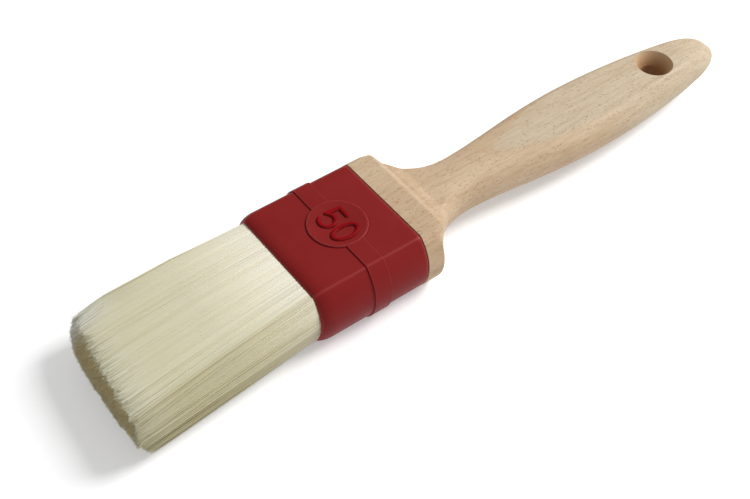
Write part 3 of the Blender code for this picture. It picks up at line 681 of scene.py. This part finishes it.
def tuft_point(across, layer, reach, upper):
    """across: -1 to 1, layer: 0 (middle) to 1 (outer face), reach: 0 (root) to 1 (tip)."""
    root_height = MOUTH_THICKNESS / 2 - MOUTH_GAP
    tip_height = TIP_THICKNESS / 2
    swell = 4 * reach * (1 - reach)
    freed = FREED_SWELL * soft_step((reach - FREED_FROM) / FREED_RUN) * (1 - reach)
    outer_height = root_height + (tip_height - root_height) * reach
    outer_height += THICKNESS_SWELL * swell + freed
    beside_spacer = soft_step((SPACER_END[0] - abs(across)) / SPACER_END[1])
    root_inner = PARTING + (SPACER_THICKNESS / 2 + SPACER_MARGIN) * beside_spacer
    closed = 1 - max(1 - reach, 0.0) ** CLOSING
    inner_height = root_inner + (PARTING - root_inner) * closed
    height = inner_height + (outer_height - inner_height) * layer
    share = height / outer_height
    root_half = arched_half_width(MOUTH_WIDTH - 2 * MOUTH_GAP, 2 * root_height,
                                  SIDE_RADIUS - LIP_INSET, share * root_height)
    tip_half = arched_half_width(TIP_WIDTH, TIP_THICKNESS, TIP_SIDE_RADIUS,
                                 share * tip_height)
    half_width = root_half + (tip_half - root_half) * reach
    half_width += WIDTH_SWELL * swell + FREED_ACROSS * freed
    return Vector((
        ROOT_X + (TIP_X - ROOT_X) * reach,
        across * half_width - LEAN * reach,
        upper * height - DROOP * max(reach, 0.0) ** DROOP_ONSET,
    ))


def tip_shortening(across, layer, upper):
    """Share of a filament's length that is missing at the domed, slanting tip."""
    missing = SLANT * (1 + across) / 2 + FAR_CORNER * max(across, 0.0) ** 4
    if upper > 0:
        missing += UPPER_DOME * (1 + UPPER_DOME_SKEW * across) * layer ** 2
    else:
        missing += LOWER_DOME * layer ** 2 + LOWER_NEAR_CORNER * max(-across, 0.0) ** 4
    return missing / (ROOT_X - TIP_X)


middle_tip = tuft_point(0.0, 0.5, 1.0, 1)
print("the middle of the tips is at", [round(value / MM, 1) for value in middle_tip])

# %% What makes one filament differ from the next
FILAMENT_COLUMNS = 150                  # in each half of a row
FILAMENT_LAYERS = 28
FILAMENT_WIDTH = 0.29 * MM
LEVELS = (0.0, 0.0475, 0.056, 0.5, 0.88, 1.0)   # two of them turn the lip's corner
LEVEL_WIDTHS = (1.0, 1.0, 1.0, 1.0, 0.85, 0.35)
HOOK_FROM = 0.85                        # reach at which the far corner's tips turn down
SEED = 50
# tone is the filament's own colour; the other three marks carry painted shade and painted
# light.
FILAMENT_MARKS = ("tone", "inner_end_shade", "shaded", "far_corner_painted_light")
noise.seed_set(SEED)                    # without a seed its vectors differ in every run


def filament_habits(across, layer, upper, rng):
    """Its place and length, how it wanders at the tip, its thickness and its tone.

    Neighbours share a lock and a wisp, which are broad and narrow noise, and each
    filament adds a little of its own. Lengths that are plain numbers are in mm.
    """
    lock = noise.noise_vector(Vector((across * 13, layer * 2.2, upper * 5.0)))
    wisp = noise.noise_vector(Vector((across * 55, layer * 7.0, upper * 9.0)))
    streak = noise.noise(Vector((across * 11, layer * 2.0, upper * 3.0)))
    # Share towards the far corner: its tips grow longer and hook down, and the finish paints
    # light there.
    far_corner_painted_light = soft_step((across - 0.55) / 0.35)
    over_corner = far_corner_painted_light * layer ** 2 if upper > 0 else 0.0
    ragged = rng.random() ** 2 * (1.4 + 1.2 * layer) - 0.8 * rng.random() ** 5
    ragged -= 0.4 * max(wisp.x, 0.0)
    missing = tip_shortening(across, layer, upper)
    missing += (ragged - 1.2 * over_corner) * MM / (ROOT_X - TIP_X)
    at_side = abs(across) > 0.93
    stray = rng.uniform(0.3, 1.3) if at_side and rng.random() < 0.12 else 0.0
    own_across = across + rng.uniform(-0.35, 0.35) / FILAMENT_COLUMNS
    own_layer = min(max(layer + rng.uniform(-0.25, 0.25) / FILAMENT_LAYERS, 0.0), 1.0)
    wander_across = 0.30 * lock.y + 0.03 * wisp.y + rng.gauss(0, 0.03)
    wander_across += math.copysign(stray, across)
    wander_up = 0.10 * lock.z + 0.02 * wisp.z + rng.gauss(0, 0.02)
    # Filaments inside the tuft, whose ends show on the tip face; the finish paints shade on
    # those ends.
    deep_inside = 1 - max(
        soft_step((layer - 0.72) / 0.24),
        soft_step((across - 0.5) / 0.4),
        soft_step((-across - 0.86) / 0.1),
    )
    return {
        "across": own_across,
        "layer": own_layer,
        "length": 1 - missing - 0.012 * max(0.0, lock.x),
        "wander": Vector((0.0, wander_across, wander_up)) * MM,
        "roll": rng.gauss(0, 0.09),
        "width": FILAMENT_WIDTH * rng.uniform(0.85, 1.15),
        "tone": min(max(0.5 + 0.5 * streak + rng.gauss(0, 0.07), 0.0), 1.0),
        "inner_end_shade": deep_inside,
        "shaded": soft_step((-across - 0.8) / 0.18) * (0.5 if upper > 0 else 1.0),
        "far_corner_painted_light": far_corner_painted_light,
        "hook": 2.0 * MM * over_corner,
    }


print("filaments in a half row:", FILAMENT_COLUMNS * FILAMENT_LAYERS)

# %% Grow one half of a row
def grow_half_row(name, upper, side, stands_for, seed):
    rng = random.Random(seed)
    bm = bmesh.new()
    bmesh.ops.create_grid(bm, x_segments=FILAMENT_COLUMNS, y_segments=FILAMENT_LAYERS, size=0.5)
    bmesh.ops.split_edges(bm, edges=bm.edges[:])
    strand = bm.verts.layers.int.new("strand")
    corner = bm.verts.layers.int.new("corner")
    along = bm.verts.layers.float.new("along")
    marks = [bm.verts.layers.float.new(habit_name) for habit_name in FILAMENT_MARKS]
    habits = []
    for number, face in enumerate(bm.faces):
        middle = face.calc_center_median()
        across = side * (middle.x + 0.5)
        habits.append(filament_habits(across, middle.y + 0.5, upper, rng))
        for vert in face.verts:
            vert[strand] = number
            right, top = vert.co.x > middle.x, vert.co.y > middle.y
            vert[corner] = (1 if right else 0) + (2 if top else 0)
            for mark, habit_name in zip(marks, FILAMENT_MARKS):
                vert[mark] = habits[number][habit_name]
    tips = bm.faces[:]
    for level, (reach, width) in enumerate(zip(LEVELS, LEVEL_WIDTHS)):
        if level:
            tips = bmesh.ops.extrude_discrete_faces(bm, faces=tips)["faces"]
        for face in tips:
            for vert in face.verts:
                habit = habits[vert[strand]]
                share = reach * habit["length"]
                place = tuft_point(habit["across"], habit["layer"], share, upper)
                place += habit["wander"] * max(share, 0.0) ** DROOP_ONSET
                place.z -= habit["hook"] * soft_step((reach - HOOK_FROM) / (1 - HOOK_FROM))
                half = habit["width"] * width / 2
                y = half if vert[corner] & 1 else -half
                z = half if vert[corner] & 2 else -half
                place.y += y * math.cos(habit["roll"]) - z * math.sin(habit["roll"])
                place.z += y * math.sin(habit["roll"]) + z * math.cos(habit["roll"])
                vert[along] = max(share, 0.0)
                vert.co = place
    bmesh.ops.holes_fill(bm, edges=[edge for edge in bm.edges if edge.is_boundary], sides=4)
    return finish_piece(name, bm, stands_for, 50)


filaments = []
for row_name, upper in (("upper", 1), ("lower", -1)):
    for side_name, side in (("far", 1), ("near", -1)):
        filaments.append(grow_half_row(f"{row_name}_filaments_{side_name}", upper, side,
                                       [f"{row_name}_bristles"], SEED + 2 * upper + side))

# %% [markdown]
# ## Finishes
#
# A finish is a small tree of nodes. Each one starts from the same shader, with a
# pattern placed by Object coordinates or by a mark that the mesh carries, and ends in
# colour, roughness and a slight bump. A few short helpers keep the trees readable.

# %% Helpers for the node trees
class Finish:
    """A material whose nodes are added and joined by name."""

    def __init__(self, name):
        self.material = bpy.data.materials.new(name)
        self.material.use_nodes = True
        self.tree = self.material.node_tree
        self.shader = self.tree.nodes["Principled BSDF"]

    def node(self, kind, settings=None, **inputs):
        made = self.tree.nodes.new(kind)
        for key, value in (settings or {}).items():
            setattr(made, key, value)
        for key, value in inputs.items():
            self.feed(made, key.replace("_", " "), value)
        return made

    def feed(self, node, socket, value):
        target = node.inputs[int(socket)] if socket.isdigit() else node.inputs[socket]
        if isinstance(value, bpy.types.NodeSocket):
            self.tree.links.new(value, target)
        else:
            target.default_value = value

    def place(self, scale):
        """Object coordinates stretched by a scale along x, y and z."""
        coords = self.node("ShaderNodeTexCoord").outputs["Object"]
        return self.node("ShaderNodeMapping", Vector=coords, Scale=scale).outputs["Vector"]

    def noise(self, scale, detail=3.0, rough=0.5, warp=0.0):
        made = self.node("ShaderNodeTexNoise", Vector=self.place(scale), Scale=1.0,
                         Detail=detail, Roughness=rough, Distortion=warp)
        return made.outputs["Fac"]

    def ramp(self, value, *stops):
        made = self.node("ShaderNodeValToRGB", Fac=value)
        steps = made.color_ramp.elements
        while len(steps) < len(stops):
            steps.new(1.0)
        for step, (position, colour) in zip(steps, stops):
            step.position = position
            step.color = (*colour, 1.0) if len(colour) == 3 else colour
        return made.outputs["Color"]

    def blend(self, kind, share, first, second):
        made = self.node("ShaderNodeMix", {"data_type": "RGBA", "blend_type": kind})
        self.feed(made, "0", share)
        self.feed(made, "6", first)
        self.feed(made, "7", second)
        return made.outputs[2]

    def span(self, value, low, high, from_low=0.0, from_high=1.0):
        made = self.node("ShaderNodeMapRange", Value=value)
        for socket, number in (("From Min", from_low), ("From Max", from_high),
                               ("To Min", low), ("To Max", high)):
            made.inputs[socket].default_value = number
        return made.outputs["Result"]

    def mark(self, name):
        return self.node("ShaderNodeAttribute", {"attribute_name": name}).outputs["Fac"]

    def bump(self, height, depth, strength=1.0, under=None):
        made = self.node("ShaderNodeBump", Height=height, Distance=depth, Strength=strength)
        if under:
            self.feed(made, "Normal", under)
        return made.outputs["Normal"]

    def coat_of(self, **inputs):
        for key, value in inputs.items():
            self.feed(self.shader, key.replace("_", " "), value)


# %% [markdown]
# ## Beech
#
# Beech is pale and pinkish, with a faint broad figure, very fine fibres along the
# length and the short dark dashes of its rays. The grain runs along the handle, so
# every pattern is stretched along x.

# %% The beech finish
beech = Finish("sanded_beech")
figure = beech.noise((14, 110, 110), 3.0, 0.55, 0.6)
streak = beech.noise((60, 700, 700), 3.0, 0.6, 0.3)
fibre = beech.noise((210, 2600, 2600), 3.0, 0.65)
bare = beech.ramp(figure, (0.30, (0.620, 0.440, 0.278)), (0.52, (0.672, 0.497, 0.330)),
                  (0.72, (0.714, 0.549, 0.376)))
fresh = beech.ramp(figure, (0.30, (0.622, 0.490, 0.336)), (0.60, (0.670, 0.552, 0.398)),
                   (0.75, (0.700, 0.585, 0.437)))
base = beech.blend("MIX", beech.mark("fresh"), bare, fresh)
streak_tint = beech.ramp(streak, (0.32, (0.88, 0.83, 0.76)), (0.56, (1.0, 1.0, 1.0)))
fibre_tint = beech.ramp(fibre, (0.30, (0.86, 0.83, 0.79)), (0.62, (1.0, 1.0, 1.0)))
wood = beech.blend("MULTIPLY", 0.9, base, streak_tint)
wood = beech.blend("MULTIPLY", 0.8, wood, fibre_tint)

# %% Rays, end grain with painted shade deep in the hole, and rubbed ridges with a painted highlight
cells = beech.node("ShaderNodeTexVoronoi", {"feature": "F1"}, Scale=1.0, Randomness=1.0,
                   Vector=beech.place((400, 2500, 2500)))
ray_core = beech.span(cells.outputs["Distance"], 1.0, 0.0, 0.12, 0.28)
ray_here = beech.ramp(beech.noise((160, 420, 420), 2.0), (0.38, (0, 0, 0)), (0.54, (1, 1, 1)))
rays = beech.blend("MULTIPLY", 1.0, ray_core, ray_here)
wood = beech.blend("MIX", rays, wood, (0.23, 0.125, 0.055, 1.0))
# End grain in the hole is orange-brown and darkens towards its throat: painted shade.
bore_grain_and_shade = beech.ramp(beech.mark("bored"), (0.1, (0.70, 0.47, 0.27)),
                         (0.9, (0.37, 0.195, 0.088)))
end_grain_and_shade = beech.blend("MULTIPLY", 0.8, bore_grain_and_shade, fibre_tint)
in_hole = beech.span(beech.mark("bored"), 0.0, 1.0, 0.0, 0.1)
wood = beech.blend("MIX", in_hole, wood, end_grain_and_shade)
out_of_hole = beech.span(beech.mark("bored"), 1.0, 0.0, 0.0, 0.1)
# Ridges turn to pale beech: partly polish from handling, partly a painted highlight.
polish_and_highlight = beech.ramp(beech.mark("wear_and_highlight"), (0.40, (0, 0, 0)), (0.75, (0.45, 0.45, 0.45)))
polish_and_highlight = beech.blend("MULTIPLY", 1.0, polish_and_highlight, out_of_hole)
wood = beech.blend("MIX", polish_and_highlight, wood, (0.76, 0.672, 0.55, 1.0))
surface = beech.bump(fibre, 0.04 * MM, 0.5)
surface = beech.bump(rays, -0.05 * MM, 0.6, surface)
beech.coat_of(Base_Color=wood, Roughness=beech.span(fibre, 0.58, 0.72), Normal=surface)
handle.data.materials.clear()
handle.data.materials.append(beech.material)

# %% [markdown]
# ## Red moulding
#
# The ferrule is a satin moulding in nearly one colour. Light shows a fine texture from
# the mould, its edges are paler where it is handled and where a highlight is painted
# on, its hollows carry painted shade, and its figures are a deeper, cleaner red than
# the dusty faces round them.

# %% The moulding finish
moulding = Finish("satin_red_moulding")
dust = moulding.noise((55, 55, 55), 4.0, 0.6)
grain = moulding.noise((2600, 2600, 2600), 2.0, 0.6)
face_red = moulding.ramp(dust, (0.32, (0.248, 0.0150, 0.0150)), (0.68, (0.272, 0.0190, 0.0185)))
red = moulding.blend("MIX", moulding.mark("figure"), face_red, (0.29, 0.0002, 0.0045, 1.0))
# Hollows are darkened to a deep red: painted shade.
nook_shade_here = moulding.ramp(moulding.mark("nook_shade"), (0.15, (0, 0, 0)), (0.8, (1, 1, 1)))
red = moulding.blend("MULTIPLY", nook_shade_here, red, (0.62, 0.10, 0.30, 1.0))
# Edges away from the figures turn pale pink: partly wear, partly a painted highlight.
off_figures = moulding.span(moulding.mark("figure"), 1.0, 0.0)
wear_and_highlight_here = moulding.ramp(moulding.mark("wear_and_highlight"), (0.25, (0, 0, 0)), (0.8, (0.75, 0.75, 0.75)))
wear_and_highlight_here = moulding.blend("MULTIPLY", 1.0, wear_and_highlight_here, off_figures)
red = moulding.blend("MIX", wear_and_highlight_here, red, (0.42, 0.070, 0.062, 1.0))
moulding.coat_of(Base_Color=red, Roughness=moulding.span(dust, 0.42, 0.52, 0.3, 0.7),
                 Normal=moulding.bump(grain, 0.02 * MM, 0.35),
                 Specular_IOR_Level=0.09)
ferrule.data.materials.append(moulding.material)

# %% [markdown]
# ## Cream filament
#
# Nylon filament is pale cream and slightly shiny. Near the ferrule the tuft is packed
# and looks whitest; towards the tips the ends are flagged and duller. Painted shade
# darkens the ends of inner filaments on the tip face and the lower near side, and
# painted light whitens the far corner near the tips.

# %% The filament finish
nylon = Finish("cream_filament")
length_tint = nylon.ramp(nylon.mark("along"),
                         (0.0, (0.88, 0.855, 0.755)), (0.30, (0.84, 0.81, 0.63)),
                         (0.75, (0.81, 0.78, 0.57)), (1.0, (0.83, 0.81, 0.65)))
tone_tint = nylon.ramp(nylon.mark("tone"), (0.15, (0.92, 0.89, 0.79)), (0.5, (1.0, 0.99, 0.96)),
                       (0.85, (1.0, 1.0, 1.0)))
cream = nylon.blend("MULTIPLY", 1.0, length_tint, tone_tint)
# Ends of inner filaments on the tip face get painted shade, darkest near the table and browner
# higher up.
tip_only = nylon.ramp(nylon.mark("along"), (0.86, (0, 0, 0)), (0.97, (1, 1, 1)))
inner_end_shade_here = nylon.blend("MULTIPLY", 1.0, tip_only, nylon.mark("inner_end_shade"))
table_height = nylon.node("ShaderNodeSeparateXYZ", Vector=nylon.place((1, 1, 1))).outputs["Z"]
inner_end_shade_tint = nylon.ramp(nylon.span(table_height, 0.0, 1.0, 2 * MM, 15 * MM),
                          (0.0, (0.66, 0.64, 0.57)), (0.45, (0.93, 0.90, 0.78)),
                          (1.0, (1.0, 0.88, 0.67)))
cream = nylon.blend("MULTIPLY", inner_end_shade_here, cream, inner_end_shade_tint)
cream = nylon.blend("MULTIPLY", nylon.mark("shaded"), cream, (0.68, 0.64, 0.52, 1.0))
# Near the tips the far corner is mixed towards white: painted light.
far_end = nylon.ramp(nylon.mark("along"), (0.70, (0, 0, 0)), (0.98, (1, 1, 1)))
far_corner_painted_light = nylon.blend("MULTIPLY", 1.0, far_end, nylon.mark("far_corner_painted_light"))
cream = nylon.blend("MIX", far_corner_painted_light, cream, (0.97, 0.965, 0.90, 1.0))
flaw = nylon.noise((300, 4000, 4000), 2.0)
nylon.coat_of(Base_Color=cream, Roughness=nylon.span(flaw, 0.42, 0.60),
              Normal=nylon.bump(flaw, 0.02 * MM, 0.3))
for piece in filaments:
    piece.data.materials.append(nylon.material)

# %% [markdown]
# ## The pieces inside
#
# The spacer strip and the resin sit inside the ferrule. They are only seen where the
# brush is taken apart, and they still get a finish: plain softwood, and amber resin.

# %% Spacer and resin finishes
strip = Finish("spacer_wood")
strip_fibre = strip.noise((80, 900, 900), 4.0, 0.6)
softwood = strip.ramp(strip_fibre, (0.3, (0.44, 0.29, 0.17)), (0.7, (0.56, 0.40, 0.25)))
strip.coat_of(Base_Color=softwood, Roughness=strip.span(strip_fibre, 0.62, 0.78),
              Normal=strip.bump(strip_fibre, 0.05 * MM, 0.5))
resin = Finish("amber_resin")
flow = resin.noise((120, 120, 120), 4.0, 0.6, 0.8)
amber = resin.ramp(flow, (0.3, (0.33, 0.18, 0.055)), (0.7, (0.50, 0.31, 0.12)))
resin.coat_of(Base_Color=amber, Roughness=resin.span(flow, 0.16, 0.30),
              Normal=resin.bump(flow, 0.1 * MM, 0.3))
for node_name, finish in (("spacer_plug", strip), ("resin_setting", resin)):
    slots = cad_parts[node_name].data.materials
    slots.clear()
    slots.append(finish.material)
print("finishes:", sorted(material.name for material in bpy.data.materials))

# %% [markdown]
# ## Table, room and lamps
#
# The brush lies on a white table in a bright room, with one large soft lamp beyond
# the tail. The table is lit like everything else, and a little light of its own is
# added only where the camera, a reflection or a transmission looks at it, so it goes
# white while it still takes the brush's shadow.

# %% The table
TABLE_HALF_SIDE = 0.65
TABLE_OWN_LIGHT = 0.34

table_bm = bmesh.new()
bmesh.ops.create_grid(table_bm, x_segments=1, y_segments=1, size=TABLE_HALF_SIDE)
table_mesh = bpy.data.meshes.new("table")
table_bm.to_mesh(table_mesh)
table_bm.free()
table = bpy.data.objects.new("table", table_mesh)
bpy.context.scene.collection.objects.link(table)
table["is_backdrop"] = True
paper = Finish("white_table")
seen = paper.node("ShaderNodeLightPath").outputs
looked_at = paper.node("ShaderNodeMath", {"operation": "MAXIMUM"})
paper.feed(looked_at, "0", seen["Is Camera Ray"])
paper.feed(looked_at, "1", seen["Is Glossy Ray"])
through = paper.node("ShaderNodeMath", {"operation": "MAXIMUM"})
paper.feed(through, "0", looked_at.outputs[0])
paper.feed(through, "1", seen["Is Transmission Ray"])
paper.coat_of(Base_Color=(0.90, 0.90, 0.905, 1.0), Roughness=0.9, Specular_IOR_Level=0.0,
              Emission_Color=(1.0, 1.0, 1.0, 1.0),
              Emission_Strength=paper.span(through.outputs[0], 0.0, TABLE_OWN_LIGHT))
table.data.materials.append(paper.material)
print("the table is", 2 * TABLE_HALF_SIDE, "m square")

# %% The room and the lamp
ROOM_LIGHT = 0.34                       # the camera sees the room at full white
LAMP_WAY = (0.66, -0.18, 0.73)
LAMP_DISTANCE = 1.3
LAMP_SIZE = 0.5
LAMP_SHARE = 0.86

world = bpy.data.worlds.new("bright_room")
world.use_nodes = True
room_tree = world.node_tree
room = room_tree.nodes["Background"]
room.inputs["Color"].default_value = (1.0, 1.0, 1.0, 1.0)
ray = room_tree.nodes.new("ShaderNodeLightPath")
level = room_tree.nodes.new("ShaderNodeMapRange")
level.inputs["To Min"].default_value = ROOM_LIGHT
level.inputs["To Max"].default_value = 1.0
room_tree.links.new(ray.outputs["Is Camera Ray"], level.inputs["Value"])
room_tree.links.new(level.outputs["Result"], room.inputs["Strength"])
bpy.context.scene.world = world


def soft_lamp(name, way, distance, size, share):
    """A square lamp; share is the part of a plain level that it gives a face-on surface."""
    lamp = bpy.data.objects.new(name, bpy.data.lights.new(name, "AREA"))
    lamp.data.size = size
    lamp.data.energy = share * math.pi ** 2 * distance ** 2
    way = Vector(way).normalized()
    lamp.location = way * distance
    lamp.rotation_euler = way.to_track_quat("Z", "Y").to_euler()
    bpy.context.scene.collection.objects.link(lamp)
    print(name, "gives", round(lamp.data.energy, 2), "W")


soft_lamp("window_lamp", LAMP_WAY, LAMP_DISTANCE, LAMP_SIZE, LAMP_SHARE)
bpy.context.scene.view_settings.view_transform = "Standard"

# %% Sizes side by side
dressed_size = [list(corner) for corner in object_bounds()]
for label, corners in (("packed", plain_size), ("dressed", dressed_size)):
    print(label, [[round(value / MM, 2) for value in corner] for corner in corners])
